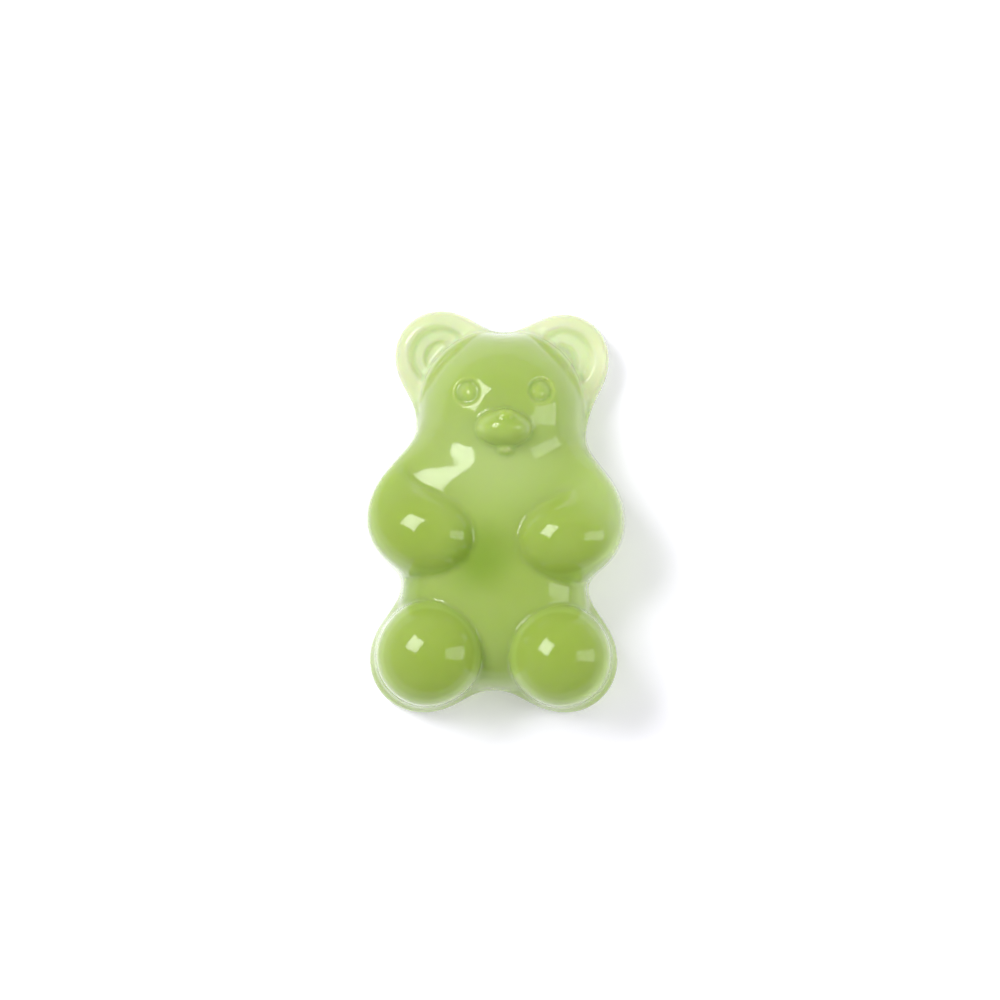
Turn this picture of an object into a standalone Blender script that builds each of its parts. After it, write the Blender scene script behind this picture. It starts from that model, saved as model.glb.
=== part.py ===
"""A moulded jelly bear lying on its flat back, its front facing up.

The figure is poured in one piece, so it is one solid.  Its plan is a soft
union of ovals for the head, ears, shoulders, arms, trunk and feet, and each
of these rises as its own rounded dome from a shared, slightly drafted wall.
"""
import math

import bmesh
import bpy
import numpy as np
from mathutils import Matrix

MM = 0.001

# ---------------------------------------------------------------- sizes (mm)
# Plan of the wall: centre x, centre y, half-width, half-length.
HEAD_PLAN = (0.50, 5.60, 4.40, 3.80)
SHOULDER_PLAN = (-0.20, 0.00, 6.30, 4.90)
TRUNK_PLAN = (-0.05, -4.65, 4.85, 4.80)
LEFT_EAR_PLAN = (-3.00, 8.50, 2.45, 2.45)
RIGHT_EAR_PLAN = (3.85, 8.40, 2.35, 2.35)
LEFT_ARM_PLAN = (-4.80, -0.60, 1.70, 1.70)
RIGHT_ARM_PLAN = (4.20, -0.65, 2.70, 2.70)
LEFT_FOOT_PLAN = (-3.95, -8.10, 2.90, 2.90)
RIGHT_FOOT_PLAN = (3.85, -8.15, 2.85, 2.85)
PLAN_BLEND = 3.40
TRUNK_PLAN_BLEND = 1.50
WALL_DRAFT = math.radians(1.0)
WALL_GROWTH = 0.01

# Domes: centre x, centre y, half-width, half-length, height, fullness.
HEAD = (0.38, 5.42, 4.72, 4.72, 7.20, 2.6)
CHEST = (-0.50, 0.95, 8.00, 4.80, 7.20, 2.4)
LEFT_SHOULDER = (-5.60, 0.70, 2.30, 3.20, 6.85, 2.4)
RIGHT_SHOULDER = (5.30, 0.50, 2.40, 3.10, 6.75, 2.4)
TRUNK = (-0.05, -4.20, 5.50, 5.90, 7.20, 3.4)
LEFT_EAR = (-3.20, 8.67, 2.30, 2.30, 2.75, 4.0)
RIGHT_EAR = (3.88, 8.51, 2.27, 2.27, 2.75, 4.0)
SKIRT_HEIGHT = 2.50
TRUNK_FALL = 0.06

# Arms: centre x, centre y, half-length, half-width, height, fullness,
# turn from the x axis in degrees, and how much taller the paw end stands.
LEFT_ARM = (-3.80, -1.10, 3.85, 3.15, 8.45, 2.6, -13.0, 0.06)
RIGHT_ARM = (3.80, -1.40, 3.90, 3.15, 8.60, 2.5, 6.0, 0.0)

# Feet taper from the back to a ball: x, y, radius at back, ball radius, height.
LEFT_FOOT = (-3.60, -7.72, 3.16, 2.90, 9.10)
RIGHT_FOOT = (3.54, -7.84, 3.06, 2.80, 9.00)

# How softly neighbouring domes run into each other.
NECK_BLEND = 1.80
SHOULDER_BLEND = 2.40
WAIST_BLEND = 2.20
ARM_BLEND = 0.30
ARMPIT_BLEND = 1.80
ARMPIT_Y = (0.20, 2.80)
FOOT_BLEND = 0.30
EAR_BLEND = 0.30
SKIRT_BLEND = 1.80
EAR_JOIN_BLEND = 0.40
EAR_JOIN_Y = (4.50, 6.50)
WALL_EDGE = 0.90
BACK_EDGE = 0.45

# Face, raised from or pressed into the head.
SNOUT = (0.47, 4.55, 1.58, 1.08, 2.1, 2.3)
SNOUT_BASE = 6.40
SNOUT_BLEND = 0.25
NOSE = (0.58, 5.22, 0.58, 0.34, 0.82, 2.2)
NOSE_BASE = 7.60
MOUTH = (0.56, 3.38, 0.46, 0.32, 0.82, 2.2)
MOUTH_BASE = 6.75
NOSE_BLEND = 0.30
EYES = ((-1.50, 6.50), (2.45, 6.57))
EYE_SOCKET = 0.66
EYE_SOCKET_DEPTH = 0.16
EYE_BALL = 0.52
EYE_BALL_RISE = 0.03

# The hollow in each ear leans in toward the head.
EAR_HOLLOWS = ((-3.05, 8.50), (3.75, 8.35))
EAR_HOLLOW_RADIUS = 1.55
EAR_HOLLOW_DEPTH = 0.55
EAR_PITS = ((-2.90, 8.35), (3.60, 8.20))
EAR_PIT_RADIUS = 0.92
EAR_PIT_DEPTH = 0.30
BOWL_EDGE = 0.30

# Mesh resolution and the small step used to measure slopes.
ROUGH_VOXEL = 0.45
FINE_VOXEL = 0.15
TRIANGLES = 9600
PROBE = 0.01


# ------------------------------------------------------------- surface shape
def soft_min(a, b, blend):
    """Join two shapes with a rounded valley of the given width."""
    overlap = np.maximum(blend - np.abs(a - b), 0.0) / blend
    return np.minimum(a, b) - overlap ** 3 * blend / 6.0


def soft_max(a, b, blend):
    """Keep what two shapes share, rounding the edge between them."""
    return -soft_min(-a, -b, blend)


def oval(x, y, plan):
    """Distance from an oval's outline, negative inside."""
    u = (x - plan[0]) / plan[2]
    v = (y - plan[1]) / plan[3]
    reach = np.sqrt(u * u + v * v) + 1e-9
    slope = np.sqrt((u / plan[2]) ** 2 + (v / plan[3]) ** 2) + 1e-9
    return reach * (reach - 1.0) / slope


def rise(reach, plan_slope, up, height, fullness):
    """Distance from a dome whose plan and height share one power curve."""
    reach = reach + 1e-6
    w = np.maximum(up, 0.0) / height
    size = (reach ** fullness + w ** fullness) ** (1.0 / fullness)
    across = (reach / size) ** (fullness - 1.0) * plan_slope
    upward = (w / size) ** (fullness - 1.0) / height
    return (size - 1.0) / np.sqrt(across ** 2 + upward ** 2)


def dome(x, y, z, shape, base=0.0):
    """A rounded oval mound standing on the given base height."""
    u = (x - shape[0]) / shape[2]
    v = (y - shape[1]) / shape[3]
    reach = np.sqrt(u * u + v * v) + 1e-6
    plan_slope = np.sqrt((u / shape[2]) ** 2 + (v / shape[3]) ** 2) / reach
    plan_slope = np.maximum(plan_slope, 1.0 / max(shape[2], shape[3]))
    return rise(reach, plan_slope, z - base, shape[4], shape[5])


def arm(x, y, z, shape):
    """An egg-shaped mound turned in plan, with one end standing taller."""
    turn = math.radians(shape[6])
    gap_x = x - shape[0]
    gap_y = y - shape[1]
    along = gap_x * math.cos(turn) + gap_y * math.sin(turn)
    across = gap_y * math.cos(turn) - gap_x * math.sin(turn)
    lift = 1.0 + shape[7] * np.clip(along / shape[2], -1.0, 1.0)
    egg = (0.0, 0.0, shape[2], shape[3], shape[4], shape[5])
    return dome(along, across, z / lift, egg)


def foot(x, y, z, shape):
    """A tapering peg with a ball end, wider at the bear's back."""
    centre_x, centre_y, back, ball, height = shape
    reach = np.hypot(x - centre_x, y - centre_y)
    top = height - ball
    taper = (back - ball) / top
    side = (reach - back + taper * z) / math.hypot(1.0, taper)
    cap = np.hypot(reach, z - top) - ball
    return np.where(z > top + taper * reach, cap, side)


def plan_wall(x, y):
    """Distance from the bear's outline at its back, negative inside."""
    head = soft_min(oval(x, y, HEAD_PLAN), oval(x, y, LEFT_EAR_PLAN), PLAN_BLEND)
    head = soft_min(head, oval(x, y, RIGHT_EAR_PLAN), PLAN_BLEND)
    wall = soft_min(head, oval(x, y, SHOULDER_PLAN), PLAN_BLEND)
    wall = soft_min(wall, oval(x, y, LEFT_ARM_PLAN), PLAN_BLEND)
    wall = soft_min(wall, oval(x, y, RIGHT_ARM_PLAN), PLAN_BLEND)
    wall = soft_min(wall, oval(x, y, TRUNK_PLAN), TRUNK_PLAN_BLEND)
    wall = soft_min(wall, oval(x, y, LEFT_FOOT_PLAN), PLAN_BLEND)
    return soft_min(wall, oval(x, y, RIGHT_FOOT_PLAN), PLAN_BLEND)


def bowl(x, y, centre, radius, depth):
    """How deep a soft-edged hollow pressed into the surface is here."""
    gap = np.hypot(x - centre[0], y - centre[1]) / radius
    inside = np.clip((1.15 - gap) / BOWL_EDGE, 0.0, 1.0)
    return depth * inside * inside * (3.0 - 2.0 * inside)


def eye(x, y, centre):
    """A shallow socket with a small ball rising in it."""
    gap = np.hypot(x - centre[0], y - centre[1])
    ball = np.clip(1.0 - (gap / EYE_BALL) ** 2, 0.0, 1.0)
    socket = bowl(x, y, centre, EYE_SOCKET, EYE_SOCKET_DEPTH)
    return socket - (EYE_SOCKET_DEPTH + EYE_BALL_RISE) * ball


def bear(x, y, z):
    """Distance from the bear's skin in millimetres, negative inside."""
    wall = plan_wall(x, y) - WALL_GROWTH + math.tan(WALL_DRAFT) * z
    ears = np.minimum(dome(x, y, z, LEFT_EAR), dome(x, y, z, RIGHT_EAR))
    skirt = soft_min(z - SKIRT_HEIGHT, ears, EAR_BLEND)
    for hollow, pit in zip(EAR_HOLLOWS, EAR_PITS):
        skirt = skirt + bowl(x, y, hollow, EAR_HOLLOW_RADIUS, EAR_HOLLOW_DEPTH)
        skirt = skirt + bowl(x, y, pit, EAR_PIT_RADIUS, EAR_PIT_DEPTH)
    head = dome(x, y, z, HEAD)
    for centre in EYES:
        head = head + eye(x, y, centre)
    figure = soft_min(head, dome(x, y, z, CHEST), NECK_BLEND)
    belly = dome(x, y, z + TRUNK_FALL * (TRUNK[1] - y), TRUNK)
    figure = soft_min(figure, belly, WAIST_BLEND)
    limb = dome(x, y, z, LEFT_SHOULDER)
    limb = soft_min(limb, arm(x, y, z, LEFT_ARM), SHOULDER_BLEND)
    figure = soft_min(figure, limb, ARM_BLEND)
    limb = dome(x, y, z, RIGHT_SHOULDER)
    limb = soft_min(limb, arm(x, y, z, RIGHT_ARM), SHOULDER_BLEND)
    fade = np.clip((y - ARMPIT_Y[0]) / (ARMPIT_Y[1] - ARMPIT_Y[0]), 0.0, 1.0)
    fade = fade * fade * (3.0 - 2.0 * fade)
    fade = ARM_BLEND + (ARMPIT_BLEND - ARM_BLEND) * fade
    figure = soft_min(figure, limb, fade)
    for shape in (LEFT_FOOT, RIGHT_FOOT):
        figure = soft_min(figure, foot(x, y, z, shape), FOOT_BLEND)
    snout = dome(x, y, z, SNOUT, SNOUT_BASE)
    snout = soft_min(snout, dome(x, y, z, NOSE, NOSE_BASE), NOSE_BLEND)
    snout = soft_min(snout, dome(x, y, z, MOUTH, MOUTH_BASE), NOSE_BLEND)
    figure = soft_min(figure, snout, SNOUT_BLEND)
    blend = np.interp(y, EAR_JOIN_Y, (SKIRT_BLEND, EAR_JOIN_BLEND))
    figure = soft_min(figure, skirt, blend)
    figure = soft_max(figure, wall, WALL_EDGE)
    return soft_max(figure, -z, BACK_EDGE)


# ---- build
def settle(mesh, rounds):
    """Move every vertex onto the bear's skin."""
    count = len(mesh.vertices)
    flat = np.empty(count * 3)
    mesh.vertices.foreach_get("co", flat)
    spot = flat.reshape(count, 3) / MM
    for _ in range(rounds):
        here = bear(spot[:, 0], spot[:, 1], spot[:, 2])
        slope = np.empty_like(spot)
        for axis in range(3):
            probe = spot.copy()
            probe[:, axis] += PROBE
            slope[:, axis] = bear(probe[:, 0], probe[:, 1], probe[:, 2]) - here
        slope /= PROBE
        steep = np.maximum((slope ** 2).sum(axis=1), 0.05)
        step = slope * (here / steep)[:, None]
        spot -= np.clip(step, -0.3, 0.3)
    spot[:, 2] = np.where(np.abs(spot[:, 2]) < 0.01, 0.0, spot[:, 2])
    mesh.vertices.foreach_set("co", (spot * MM).ravel())
    mesh.update()


def rough_figure():
    """Plain balls set close to the head, trunk, limbs and ears."""
    shapes = bmesh.new()
    mounds = [HEAD, CHEST, TRUNK, LEFT_EAR, RIGHT_EAR]
    mounds += [LEFT_ARM, RIGHT_ARM]
    for foot_x, foot_y, back, _, height in (LEFT_FOOT, RIGHT_FOOT):
        mounds.append((foot_x, foot_y, back, back, height))
    for mound in mounds:
        size = Matrix.Diagonal((mound[2], mound[3], mound[4] * 0.5, 1.0))
        place = Matrix.Translation((mound[0], mound[1], mound[4] * 0.5))
        bmesh.ops.create_uvsphere(
            shapes, u_segments=48, v_segments=24, radius=1.0, matrix=place @ size)
    bmesh.ops.scale(shapes, vec=(MM, MM, MM), verts=shapes.verts)
    mesh = bpy.data.meshes.new("gummy_bear")
    shapes.to_mesh(mesh)
    shapes.free()
    return mesh


def bake(thing):
    """Swap the object's mesh for its modified one and drop the modifiers."""
    bpy.context.view_layer.update()
    graph = bpy.context.evaluated_depsgraph_get()
    finished = bpy.data.meshes.new_from_object(thing.evaluated_get(graph))
    spare = thing.data
    thing.modifiers.clear()
    thing.data = finished
    bpy.data.meshes.remove(spare)


def centre(mesh):
    """Put the middle of the mesh's plan over the origin, its back at zero."""
    spot = np.empty(len(mesh.vertices) * 3)
    mesh.vertices.foreach_get("co", spot)
    spot = spot.reshape(-1, 3)
    middle = (spot.min(axis=0) + spot.max(axis=0)) / 2.0
    spot[:, :2] -= middle[:2]
    spot[:, 2] = np.where(spot[:, 2] < 0.01 * MM, 0.0, spot[:, 2])
    mesh.vertices.foreach_set("co", spot.ravel())
    mesh.update()


def reskin(thing, voxel):
    """Wrap the object in one even closed skin and lay it on the surface."""
    wrap = thing.modifiers.new("wrap", "REMESH")
    wrap.mode = "VOXEL"
    wrap.voxel_size = voxel * MM
    bake(thing)
    settle(thing.data, 12)


def thin_out(thing):
    """Reduce the skin to the wanted number of triangles."""
    fewer = thing.modifiers.new("fewer", "DECIMATE")
    quads = len(thing.data.polygons)
    fewer.ratio = TRIANGLES / (2.0 * quads)
    fewer.use_collapse_triangulate = True
    bake(thing)


def green_jelly():
    """Clear green jelly with a soft gloss."""
    material = bpy.data.materials.new("green_jelly")
    material.use_nodes = True
    shader = material.node_tree.nodes["Principled BSDF"]
    shader.inputs["Base Color"].default_value = (0.36, 0.49, 0.10, 1.0)
    shader.inputs["Roughness"].default_value = 0.18
    shader.inputs["IOR"].default_value = 1.45
    return material


def main():
    for old in list(bpy.data.objects):
        bpy.data.objects.remove(old, do_unlink=True)
    thing = bpy.data.objects.new("gummy_bear", rough_figure())
    bpy.context.scene.collection.objects.link(thing)
    for voxel in (ROUGH_VOXEL, FINE_VOXEL, FINE_VOXEL):
        reskin(thing, voxel)
    thin_out(thing)
    centre(thing.data)
    thing.data.materials.clear()
    thing.data.materials.append(green_jelly())
    for face in thing.data.polygons:
        face.use_smooth = True
    thing.data.name = "gummy_bear"


main()
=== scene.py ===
"""A green moulded jelly bear lying on its flat back on a white table top."""

import math

import bmesh
import bpy
import numpy as np
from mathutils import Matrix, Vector


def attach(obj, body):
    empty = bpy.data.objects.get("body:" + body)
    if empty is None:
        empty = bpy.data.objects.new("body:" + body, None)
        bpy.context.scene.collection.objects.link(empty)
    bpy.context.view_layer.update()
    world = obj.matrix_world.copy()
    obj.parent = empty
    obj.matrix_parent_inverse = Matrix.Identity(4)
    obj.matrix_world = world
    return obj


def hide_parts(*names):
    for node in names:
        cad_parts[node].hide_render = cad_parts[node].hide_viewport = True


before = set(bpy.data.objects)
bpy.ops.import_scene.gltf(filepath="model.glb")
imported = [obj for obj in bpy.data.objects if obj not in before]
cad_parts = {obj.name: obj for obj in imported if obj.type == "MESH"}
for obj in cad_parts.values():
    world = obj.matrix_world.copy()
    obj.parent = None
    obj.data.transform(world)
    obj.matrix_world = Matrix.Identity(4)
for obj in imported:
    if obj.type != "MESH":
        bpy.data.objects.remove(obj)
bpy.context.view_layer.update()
MM = 0.001

# ---------------------------------------------------------------- sizes (mm)
# Left and right are as seen from above, looking down on the bear's face.
# Plan of the wall: centre x, centre y, half-width, half-length.
HEAD_PLAN = (0.50, 5.60, 4.40, 3.80)
SHOULDER_PLAN = (-0.20, 0.00, 6.30, 4.90)
TRUNK_PLAN = (-0.05, -4.65, 4.85, 4.80)
LEFT_EAR_PLAN = (-3.00, 8.50, 2.45, 2.45)
RIGHT_EAR_PLAN = (3.85, 8.40, 2.35, 2.35)
LEFT_ARM_PLAN = (-4.80, -0.60, 1.70, 1.70)
RIGHT_ARM_PLAN = (4.20, -0.65, 2.70, 2.70)
LEFT_FOOT_PLAN = (-3.95, -8.10, 2.90, 2.90)
RIGHT_FOOT_PLAN = (3.85, -8.15, 2.85, 2.85)
PLAN_BLEND = 3.40
TRUNK_PLAN_BLEND = 1.50
WALL_DRAFT = math.radians(1.0)
WALL_GROWTH = 0.01

# Domes: centre x, centre y, half-width, half-length, height, fullness.
HEAD = (0.38, 5.42, 4.72, 4.72, 7.20, 2.6)
CHEST = (-0.50, 0.95, 8.00, 4.80, 7.20, 2.4)
LEFT_SHOULDER = (-5.60, 0.70, 2.30, 3.20, 6.85, 2.4)
RIGHT_SHOULDER = (5.30, 0.50, 2.40, 3.10, 6.75, 2.4)
TRUNK = (-0.05, -4.20, 5.50, 5.90, 7.20, 3.4)
LEFT_EAR = (-3.20, 8.67, 2.30, 2.30, 2.75, 4.0)
RIGHT_EAR = (3.88, 8.51, 2.27, 2.27, 2.75, 4.0)
SKIRT_HEIGHT = 2.50
TRUNK_FALL = 0.06

# Arms: centre x, centre y, half-length, half-width, height, fullness,
# turn from the x axis in degrees, and how much taller the paw end stands.
LEFT_ARM = (-3.80, -1.10, 3.85, 3.15, 8.45, 2.6, -13.0, 0.06)
RIGHT_ARM = (3.80, -1.40, 3.90, 3.15, 8.60, 2.5, 6.0, 0.0)

# Feet taper from the back to a ball: x, y, radius at back, ball radius, height.
LEFT_FOOT = (-3.60, -7.72, 3.16, 2.90, 9.10)
RIGHT_FOOT = (3.54, -7.84, 3.06, 2.80, 9.00)

# How softly neighbouring domes run into each other.
NECK_BLEND = 1.80
SHOULDER_BLEND = 2.40
WAIST_BLEND = 2.20
ARM_BLEND = 0.30
ARMPIT_BLEND = 1.80
ARMPIT_Y = (0.20, 2.80)
FOOT_BLEND = 0.30
EAR_BLEND = 0.30
SKIRT_BLEND = 1.80
EAR_JOIN_BLEND = 0.40
EAR_JOIN_Y = (4.50, 6.50)
WALL_EDGE = 0.90
BACK_EDGE = 0.45

# Face, raised from or pressed into the head.
SNOUT = (0.47, 4.55, 1.58, 1.08, 2.1, 2.3)
SNOUT_BASE = 6.40
SNOUT_BLEND = 0.25
NOSE = (0.58, 5.22, 0.58, 0.34, 0.82, 2.2)
NOSE_BASE = 7.60
MOUTH = (0.56, 3.38, 0.46, 0.32, 0.82, 2.2)
MOUTH_BASE = 6.75
NOSE_BLEND = 0.30
EYES = ((-1.50, 6.50), (2.45, 6.57))
EYE_SOCKET = 0.66
EYE_SOCKET_DEPTH = 0.16
EYE_BALL = 0.52
EYE_BALL_RISE = 0.03

# The hollow in each ear leans in toward the head.
EAR_HOLLOWS = ((-3.05, 8.50), (3.75, 8.35))
EAR_HOLLOW_RADIUS = 1.55
EAR_HOLLOW_DEPTH = 0.55
EAR_PITS = ((-2.90, 8.35), (3.60, 8.20))
EAR_PIT_RADIUS = 0.92
EAR_PIT_DEPTH = 0.30
BOWL_EDGE = 0.30


# ------------------------------------------------------------- surface shape
def soft_min(a, b, blend):
    """Join two shapes with a rounded valley of the given width."""
    overlap = np.maximum(blend - np.abs(a - b), 0.0) / blend
    return np.minimum(a, b) - overlap ** 3 * blend / 6.0


def soft_max(a, b, blend):
    """Keep what two shapes share, rounding the edge between them."""
    return -soft_min(-a, -b, blend)


def oval(x, y, plan):
    """Distance from an oval's outline, negative inside."""
    u = (x - plan[0]) / plan[2]
    v = (y - plan[1]) / plan[3]
    reach = np.sqrt(u * u + v * v) + 1e-9
    slope = np.sqrt((u / plan[2]) ** 2 + (v / plan[3]) ** 2) + 1e-9
    return reach * (reach - 1.0) / slope


def rise(reach, plan_slope, up, height, fullness):
    """Distance from a dome whose plan and height share one power curve."""
    reach = reach + 1e-6
    w = np.maximum(up, 0.0) / height
    size = (reach ** fullness + w ** fullness) ** (1.0 / fullness)
    across = (reach / size) ** (fullness - 1.0) * plan_slope
    upward = (w / size) ** (fullness - 1.0) / height
    return (size - 1.0) / np.sqrt(across ** 2 + upward ** 2)


def dome(x, y, z, shape, base=0.0):
    """A rounded oval mound standing on the given base height."""
    u = (x - shape[0]) / shape[2]
    v = (y - shape[1]) / shape[3]
    reach = np.sqrt(u * u + v * v) + 1e-6
    plan_slope = np.sqrt((u / shape[2]) ** 2 + (v / shape[3]) ** 2) / reach
    plan_slope = np.maximum(plan_slope, 1.0 / max(shape[2], shape[3]))
    return rise(reach, plan_slope, z - base, shape[4], shape[5])


def arm(x, y, z, shape):
    """An egg-shaped mound turned in plan, with one end standing taller."""
    turn = math.radians(shape[6])
    gap_x = x - shape[0]
    gap_y = y - shape[1]
    along = gap_x * math.cos(turn) + gap_y * math.sin(turn)
    across = gap_y * math.cos(turn) - gap_x * math.sin(turn)
    lift = 1.0 + shape[7] * np.clip(along / shape[2], -1.0, 1.0)
    egg = (0.0, 0.0, shape[2], shape[3], shape[4], shape[5])
    return dome(along, across, z / lift, egg)


def foot(x, y, z, shape):
    """A tapering peg with a ball end, wider at the bear's back."""
    centre_x, centre_y, back, ball, height = shape
    reach = np.hypot(x - centre_x, y - centre_y)
    top = height - ball
    taper = (back - ball) / top
    side = (reach - back + taper * z) / math.hypot(1.0, taper)
    cap = np.hypot(reach, z - top) - ball
    return np.where(z > top + taper * reach, cap, side)


def plan_wall(x, y):
    """Distance from the bear's outline at its back, negative inside."""
    head = soft_min(oval(x, y, HEAD_PLAN), oval(x, y, LEFT_EAR_PLAN), PLAN_BLEND)
    head = soft_min(head, oval(x, y, RIGHT_EAR_PLAN), PLAN_BLEND)
    wall = soft_min(head, oval(x, y, SHOULDER_PLAN), PLAN_BLEND)
    wall = soft_min(wall, oval(x, y, LEFT_ARM_PLAN), PLAN_BLEND)
    wall = soft_min(wall, oval(x, y, RIGHT_ARM_PLAN), PLAN_BLEND)
    wall = soft_min(wall, oval(x, y, TRUNK_PLAN), TRUNK_PLAN_BLEND)
    wall = soft_min(wall, oval(x, y, LEFT_FOOT_PLAN), PLAN_BLEND)
    return soft_min(wall, oval(x, y, RIGHT_FOOT_PLAN), PLAN_BLEND)


def bowl(x, y, centre, radius, depth):
    """How deep a soft-edged hollow pressed into the surface is here."""
    gap = np.hypot(x - centre[0], y - centre[1]) / radius
    inside = np.clip((1.15 - gap) / BOWL_EDGE, 0.0, 1.0)
    return depth * inside * inside * (3.0 - 2.0 * inside)


def eye(x, y, centre):
    """A shallow socket with a small ball rising in it."""
    gap = np.hypot(x - centre[0], y - centre[1])
    ball = np.clip(1.0 - (gap / EYE_BALL) ** 2, 0.0, 1.0)
    socket = bowl(x, y, centre, EYE_SOCKET, EYE_SOCKET_DEPTH)
    return socket - (EYE_SOCKET_DEPTH + EYE_BALL_RISE) * ball


def bear(x, y, z):
    """Distance from the bear's skin in millimetres, negative inside."""
    wall = plan_wall(x, y) - WALL_GROWTH + math.tan(WALL_DRAFT) * z
    ears = np.minimum(dome(x, y, z, LEFT_EAR), dome(x, y, z, RIGHT_EAR))
    skirt = soft_min(z - SKIRT_HEIGHT, ears, EAR_BLEND)
    for hollow, pit in zip(EAR_HOLLOWS, EAR_PITS):
        skirt = skirt + bowl(x, y, hollow, EAR_HOLLOW_RADIUS, EAR_HOLLOW_DEPTH)
        skirt = skirt + bowl(x, y, pit, EAR_PIT_RADIUS, EAR_PIT_DEPTH)
    head = dome(x, y, z, HEAD)
    for centre in EYES:
        head = head + eye(x, y, centre)
    figure = soft_min(head, dome(x, y, z, CHEST), NECK_BLEND)
    belly = dome(x, y, z + TRUNK_FALL * (TRUNK[1] - y), TRUNK)
    figure = soft_min(figure, belly, WAIST_BLEND)
    limb = dome(x, y, z, LEFT_SHOULDER)
    limb = soft_min(limb, arm(x, y, z, LEFT_ARM), SHOULDER_BLEND)
    figure = soft_min(figure, limb, ARM_BLEND)
    limb = dome(x, y, z, RIGHT_SHOULDER)
    limb = soft_min(limb, arm(x, y, z, RIGHT_ARM), SHOULDER_BLEND)
    fade = np.clip((y - ARMPIT_Y[0]) / (ARMPIT_Y[1] - ARMPIT_Y[0]), 0.0, 1.0)
    fade = fade * fade * (3.0 - 2.0 * fade)
    fade = ARM_BLEND + (ARMPIT_BLEND - ARM_BLEND) * fade
    figure = soft_min(figure, limb, fade)
    for shape in (LEFT_FOOT, RIGHT_FOOT):
        figure = soft_min(figure, foot(x, y, z, shape), FOOT_BLEND)
    snout = dome(x, y, z, SNOUT, SNOUT_BASE)
    snout = soft_min(snout, dome(x, y, z, NOSE, NOSE_BASE), NOSE_BLEND)
    snout = soft_min(snout, dome(x, y, z, MOUTH, MOUTH_BASE), NOSE_BLEND)
    figure = soft_min(figure, snout, SNOUT_BLEND)
    blend = np.interp(y, EAR_JOIN_Y, (SKIRT_BLEND, EAR_JOIN_BLEND))
    figure = soft_min(figure, skirt, blend)
    figure = soft_max(figure, wall, WALL_EDGE)
    return soft_max(figure, -z, BACK_EDGE)


# ------------------------------------------------------------------- jelly
# The skin mesh, in mm: voxels of the rough and fine wraps, then how each is
# settled on the true surface.
SKIN_VOXELS = (0.24, 0.113)
SETTLE_ROUNDS = 12
PROBE = 0.01
LEAST_SLOPE = 0.05
LONGEST_STEP = 0.3
BACK_SNAP = 0.01

# Jelly tones from the back to the top of the feet, by share of TONE_HEIGHT mm.
TONE_HEIGHT = 10.0
DEPTH_TONES = ((0.05, (0.46, 0.62, 0.14, 1.0)),
               (0.25, (0.50, 0.65, 0.17, 1.0)),
               (0.36, (0.50, 0.63, 0.19, 1.0)),
               (0.68, (0.49, 0.62, 0.17, 1.0)),
               (0.76, (0.44, 0.565, 0.12, 1.0)),
               (0.95, (0.42, 0.545, 0.09, 1.0)))

# Ears: the tone, the heights where it starts and is full, and the middle
# height, reach and even core of the patch on each ear.
EAR_TONE = (0.86, 0.93, 0.65, 1.0)
EAR_FADE = (3.8, 2.9)
EAR_MIDDLE = 1.80
EAR_REACH = 3.8
EAR_CORE = 2.6

# Sides: the tone, the lean at which it starts and is full with its strongest
# share, and where along the bear it starts and is full below the chin.
SIDE_TONE = (0.52, 0.67, 0.18, 1.0)
SIDE_LEAN = (0.58, 0.46, 0.75)
SIDE_START = (4.0, 2.6)

# Clouds: the tone, patches per metre, and the noise level at which they start
# and are full with their strongest share.
CLOUD_TONE = (0.56, 0.66, 0.28, 1.0)
CLOUD_SCALE = 260.0
CLOUD_BAND = (0.42, 0.68, 0.16)

# Waves in the skin: patches per metre and share, then their height in mm.
WAVES = ((520.0, 1.0), (1900.0, 0.16))
WAVE_HEIGHT = 0.035

# Painted light and painted shade patches, each a centre, reach, strongest share
# and tone: painted light on the neck and right flank, painted shade at the left
# waist and belly.
CHIN_PAINTED_LIGHT = ((0.10, 2.70, 6.00), 4.80, 0.75, (0.65, 0.77, 0.35, 1.0))
FLANK_PAINTED_LIGHT = ((6.60, 0.10, 5.80), 4.00, 0.90, (0.62, 0.75, 0.32, 1.0))
WAIST_PAINTED_SHADE = ((-5.00, -4.20, 4.50), 3.00, 0.90, (0.35, 0.49, 0.10, 1.0))
BELLY_PAINTED_SHADE = ((-1.00, -2.40, 7.20), 2.70, 0.65, (0.24, 0.39, 0.015, 1.0))
PAINTED_LIGHT_AND_SHADE = (CHIN_PAINTED_LIGHT, FLANK_PAINTED_LIGHT, WAIST_PAINTED_SHADE, BELLY_PAINTED_SHADE)


def settle(mesh):
    """Lay every vertex on the bear's skin, and the lowest on its flat back."""
    count = len(mesh.vertices)
    flat = np.empty(count * 3)
    mesh.vertices.foreach_get("co", flat)
    spot = flat.reshape(count, 3) / MM
    for _ in range(SETTLE_ROUNDS):
        here = bear(spot[:, 0], spot[:, 1], spot[:, 2])
        slope = np.empty_like(spot)
        for axis in range(3):
            probe = spot.copy()
            probe[:, axis] += PROBE
            slope[:, axis] = bear(probe[:, 0], probe[:, 1], probe[:, 2]) - here
        slope /= PROBE
        steep = np.maximum((slope ** 2).sum(axis=1), LEAST_SLOPE)
        step = slope * (here / steep)[:, None]
        spot -= np.clip(step, -LONGEST_STEP, LONGEST_STEP)
    spot[:, 2] = np.where(np.abs(spot[:, 2]) < BACK_SNAP, 0.0, spot[:, 2])
    mesh.vertices.foreach_set("co", (spot * MM).ravel())
    mesh.update()


def bake(thing):
    """Apply the object's modifiers, leaving a plain mesh."""
    bpy.context.view_layer.update()
    graph = bpy.context.evaluated_depsgraph_get()
    finished = bpy.data.meshes.new_from_object(thing.evaluated_get(graph))
    spare = thing.data
    thing.modifiers.clear()
    thing.data = finished
    bpy.data.meshes.remove(spare)


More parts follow.
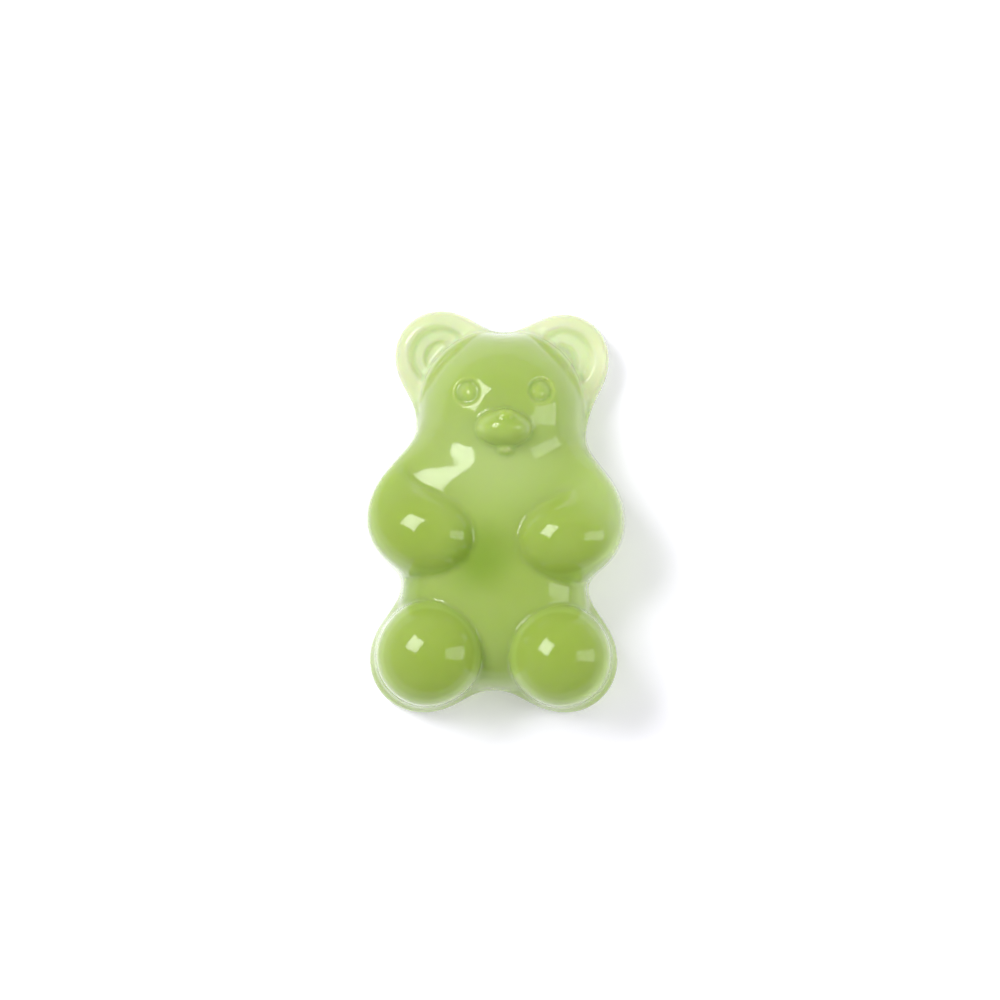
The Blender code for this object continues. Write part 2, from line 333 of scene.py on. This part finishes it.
def jelly_body():
    """The bear's smooth cast skin, laid over the frame's solid."""
    shape = bmesh.new()
    shape.from_mesh(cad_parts["gummy_bear"].data)
    bmesh.ops.remove_doubles(shape, verts=shape.verts, dist=0.002 * MM)
    mesh = bpy.data.meshes.new("jelly_body")
    shape.to_mesh(mesh)
    shape.free()
    thing = bpy.data.objects.new("jelly_body", mesh)
    bpy.context.scene.collection.objects.link(thing)
    for voxel in SKIN_VOXELS:
        wrap = thing.modifiers.new("wrap", "REMESH")
        wrap.mode = "VOXEL"
        wrap.voxel_size = voxel * MM
        bake(thing)
        settle(thing.data)
    for face in thing.data.polygons:
        face.use_smooth = True
    thing.data.name = "jelly_body"
    return thing


def tint(tree, share, under, tone):
    """Tint a colour towards a tone by a share that varies over the skin."""
    mix = tree.nodes.new("ShaderNodeMix")
    mix.data_type = "RGBA"
    mix.inputs[7].default_value = tone
    tree.links.new(share, mix.inputs[0])
    tree.links.new(under, mix.inputs[6])
    return mix.outputs[2]


def fade(tree, value, start, end, most):
    """A smooth share that grows from nothing at start to most at end."""
    share = tree.nodes.new("ShaderNodeMapRange")
    share.interpolation_type = "SMOOTHSTEP"
    share.inputs["From Min"].default_value = start
    share.inputs["From Max"].default_value = end
    share.inputs["To Max"].default_value = most
    tree.links.new(value, share.inputs["Value"])
    return share.outputs["Result"]


def nearness(tree, place, spot, reach, most, core=0.3):
    """A soft round patch about a spot in millimetres."""
    gap = tree.nodes.new("ShaderNodeVectorMath")
    gap.operation = "DISTANCE"
    gap.inputs[1].default_value = [side * MM for side in spot]
    tree.links.new(place, gap.inputs[0])
    return fade(tree, gap.outputs["Value"], reach * MM, core * MM, most)


def overlap(tree, first, second):
    """The share that two masks have in common."""
    both = tree.nodes.new("ShaderNodeMath")
    both.operation = "MULTIPLY"
    tree.links.new(first, both.inputs[0])
    tree.links.new(second, both.inputs[1])
    return both.outputs["Value"]


def side_share(tree, normal, along):
    """Where the skin is steep, from the chin down to the feet."""
    lean = tree.nodes.new("ShaderNodeSeparateXYZ")
    tree.links.new(normal, lean.inputs["Vector"])
    steep = fade(tree, lean.outputs["Z"], *SIDE_LEAN)
    start, full = SIDE_START
    below_chin = fade(tree, along, start * MM, full * MM, 1.0)
    return overlap(tree, steep, below_chin)


def ear_share(tree, place, height):
    """Where the skin is on one of the thin ears."""
    start, full = EAR_FADE
    thin = fade(tree, height, start * MM, full * MM, 1.0)
    either = tree.nodes.new("ShaderNodeMath")
    either.operation = "MAXIMUM"
    for socket, ear in zip(either.inputs, (LEFT_EAR, RIGHT_EAR)):
        spot = (ear[0], ear[1], EAR_MIDDLE)
        near = nearness(tree, place, spot, EAR_REACH, 1.0, EAR_CORE)
        tree.links.new(near, socket)
    return overlap(tree, thin, either.outputs["Value"])


def jelly_depth_and_painted_light():
    """Colour of the jelly: pale where thin, deep green where thick, with painted
    light and painted shade in a few patches.
    """
    group = bpy.data.node_groups.new("jelly_depth_and_painted_light", "ShaderNodeTree")
    group.interface.new_socket(
        "Color", in_out="OUTPUT", socket_type="NodeSocketColor")
    nodes = group.nodes
    links = group.links
    source = nodes.new("ShaderNodeTexCoord")
    place = source.outputs["Object"]
    apart = nodes.new("ShaderNodeSeparateXYZ")
    links.new(place, apart.inputs["Vector"])
    height = nodes.new("ShaderNodeMapRange")
    height.inputs["From Max"].default_value = TONE_HEIGHT * MM
    links.new(apart.outputs["Z"], height.inputs["Value"])
    tones = nodes.new("ShaderNodeValToRGB")
    ramp = tones.color_ramp.elements
    ramp[0].position, ramp[0].color = DEPTH_TONES[0]
    ramp[1].position, ramp[1].color = DEPTH_TONES[-1]
    for level, tone in DEPTH_TONES[1:-1]:
        ramp.new(level).color = tone
    links.new(height.outputs["Result"], tones.inputs["Fac"])
    colour = tones.outputs["Color"]

    # Steep sides stand paler round every mound, and the ears are palest.
    sides = side_share(group, source.outputs["Normal"], apart.outputs["Y"])
    colour = tint(group, sides, colour, SIDE_TONE)
    ears = ear_share(group, place, apart.outputs["Z"])
    colour = tint(group, ears, colour, EAR_TONE)

    # Painted light on the neck and right flank, and painted shade at the waist
    # and belly.
    for spot, reach, most, tone in PAINTED_LIGHT_AND_SHADE:
        near = nearness(group, place, spot, reach, most)
        colour = tint(group, near, colour, tone)

    # Cloudy swirls left from the pour.
    cloud = nodes.new("ShaderNodeTexNoise")
    cloud.inputs["Scale"].default_value = CLOUD_SCALE
    cloud.inputs["Detail"].default_value = 2.0
    links.new(place, cloud.inputs["Vector"])
    share = fade(group, cloud.outputs["Fac"], *CLOUD_BAND)
    colour = tint(group, share, colour, CLOUD_TONE)

    out = nodes.new("NodeGroupOutput")
    links.new(colour, out.inputs["Color"])
    return group


def cast_skin():
    """Height of the slight waves and dimples that the mould leaves."""
    group = bpy.data.node_groups.new("cast_skin", "ShaderNodeTree")
    group.interface.new_socket(
        "Height", in_out="OUTPUT", socket_type="NodeSocketFloat")
    nodes = group.nodes
    links = group.links
    place = nodes.new("ShaderNodeTexCoord")
    both = nodes.new("ShaderNodeMath")
    for socket, (scale, share) in zip(both.inputs, WAVES):
        wave = nodes.new("ShaderNodeTexNoise")
        wave.inputs["Scale"].default_value = scale
        wave.inputs["Detail"].default_value = 1.0
        links.new(place.outputs["Object"], wave.inputs["Vector"])
        part = nodes.new("ShaderNodeMath")
        part.operation = "MULTIPLY"
        part.inputs[1].default_value = share
        links.new(wave.outputs["Fac"], part.inputs[0])
        links.new(part.outputs["Value"], socket)
    out = nodes.new("NodeGroupOutput")
    links.new(both.outputs["Value"], out.inputs["Height"])
    return group


def green_jelly():
    """Clear green jelly: glossy skin, colour deepening with thickness, with
    painted light and painted shade in a few patches.
    """
    material = bpy.data.materials.new("green_jelly")
    material.use_nodes = True
    tree = material.node_tree
    shader = tree.nodes["Principled BSDF"]
    colour = tree.nodes.new("ShaderNodeGroup")
    colour.node_tree = jelly_depth_and_painted_light()
    tree.links.new(colour.outputs["Color"], shader.inputs["Base Color"])
    skin = tree.nodes.new("ShaderNodeGroup")
    skin.node_tree = cast_skin()
    bump = tree.nodes.new("ShaderNodeBump")
    bump.inputs["Strength"].default_value = 1.0
    bump.inputs["Distance"].default_value = WAVE_HEIGHT * MM
    tree.links.new(skin.outputs["Height"], bump.inputs["Height"])
    tree.links.new(bump.outputs["Normal"], shader.inputs["Normal"])
    shader.inputs["Roughness"].default_value = 0.08
    shader.inputs["IOR"].default_value = 1.38
    shader.inputs["Transmission Weight"].default_value = 0.50
    shader.inputs["Subsurface Weight"].default_value = 1.0
    shader.inputs["Subsurface Radius"].default_value = (0.8, 1.0, 0.4)
    shader.inputs["Subsurface Scale"].default_value = 1.2 * MM
    depth = tree.nodes.new("ShaderNodeVolumeAbsorption")
    depth.inputs["Color"].default_value = (0.62, 0.75, 0.10, 1.0)
    depth.inputs["Density"].default_value = 60.0
    out = tree.nodes["Material Output"]
    tree.links.new(depth.outputs["Volume"], out.inputs["Volume"])
    return material


# ------------------------------------------------------------ table and light
# Table: half its width in metres, and how far it lies under the bear in mm.
TABLE_REACH = 1.5
TABLE_DROP = 0.02

# Soft boxes: direction seen from the bear, then distance, width and height in
# metres, and power in watts.
KEY_BOX = ((-0.50, 0.34, 0.80), 0.60, 0.30, 0.30, 3.7)
SIDE_BOX = ((0.85, 0.00, 0.50), 0.60, 0.24, 0.52, 1.5)
ROOM_LIGHT = 0.50

# Camera: the point it stands over in mm, its height and the width it sees on
# the table in metres, and the width of its sensor in mm.
CAMERA_OVER = (0.27, 0.63)
CAMERA_HEIGHT = 0.800
VIEW_WIDTH = 0.0547
SENSOR_WIDTH = 36.0


def table_top():
    """A plain white surface the sweet lies on."""
    shape = bmesh.new()
    bmesh.ops.create_grid(shape, x_segments=1, y_segments=1, size=TABLE_REACH)
    bmesh.ops.translate(
        shape, vec=(0.0, 0.0, -TABLE_DROP * MM), verts=shape.verts)
    mesh = bpy.data.meshes.new("table_top")
    shape.to_mesh(mesh)
    shape.free()
    floor = bpy.data.objects.new("table_top", mesh)
    bpy.context.scene.collection.objects.link(floor)
    material = bpy.data.materials.new("white_card")
    material.use_nodes = True
    shader = material.node_tree.nodes["Principled BSDF"]
    shader.inputs["Base Color"].default_value = (0.80, 0.785, 0.87, 1.0)
    shader.inputs["Emission Color"].default_value = (1.0, 1.0, 1.0, 1.0)
    shader.inputs["Emission Strength"].default_value = 0.25
    shader.inputs["Roughness"].default_value = 0.9
    shader.inputs["Specular IOR Level"].default_value = 0.0
    floor.data.materials.append(material)


def soft_box(name, direction, distance, width, height, power):
    """A studio soft box that looks at the middle of the sweet."""
    lamp = bpy.data.lights.new(name, "AREA")
    lamp.shape = "RECTANGLE"
    lamp.size = width
    lamp.size_y = height
    lamp.energy = power
    place = Vector(direction).normalized() * distance
    box = bpy.data.objects.new(name, lamp)
    box.location = place
    box.rotation_euler = (-place).to_track_quat("-Z", "Y").to_euler()
    bpy.context.scene.collection.objects.link(box)


def pale_room(strength):
    """Even white light from all round."""
    world = bpy.data.worlds.new("pale_room")
    world.use_nodes = True
    sky = world.node_tree.nodes["Background"]
    sky.inputs["Color"].default_value = (1.0, 1.0, 1.0, 1.0)
    sky.inputs["Strength"].default_value = strength
    bpy.context.scene.world = world


def camera_above():
    """A long lens looking straight down."""
    lens = bpy.data.cameras.new("camera")
    lens.sensor_width = SENSOR_WIDTH
    lens.lens = SENSOR_WIDTH * CAMERA_HEIGHT / VIEW_WIDTH
    lens.clip_start = 0.05
    lens.clip_end = 10.0
    camera = bpy.data.objects.new("camera", lens)
    camera.location = (CAMERA_OVER[0] * MM, CAMERA_OVER[1] * MM, CAMERA_HEIGHT)
    bpy.context.scene.collection.objects.link(camera)
    bpy.context.scene.camera = camera


body = jelly_body()
body.data.materials.clear()
body.data.materials.append(green_jelly())
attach(body, "root")
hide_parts("gummy_bear")
table_top()
pale_room(ROOM_LIGHT)
soft_box("key_box", *KEY_BOX)
soft_box("side_box", *SIDE_BOX)
camera_above()
scene = bpy.context.scene
scene.view_settings.view_transform = "Standard"
scene.view_settings.look = "None"
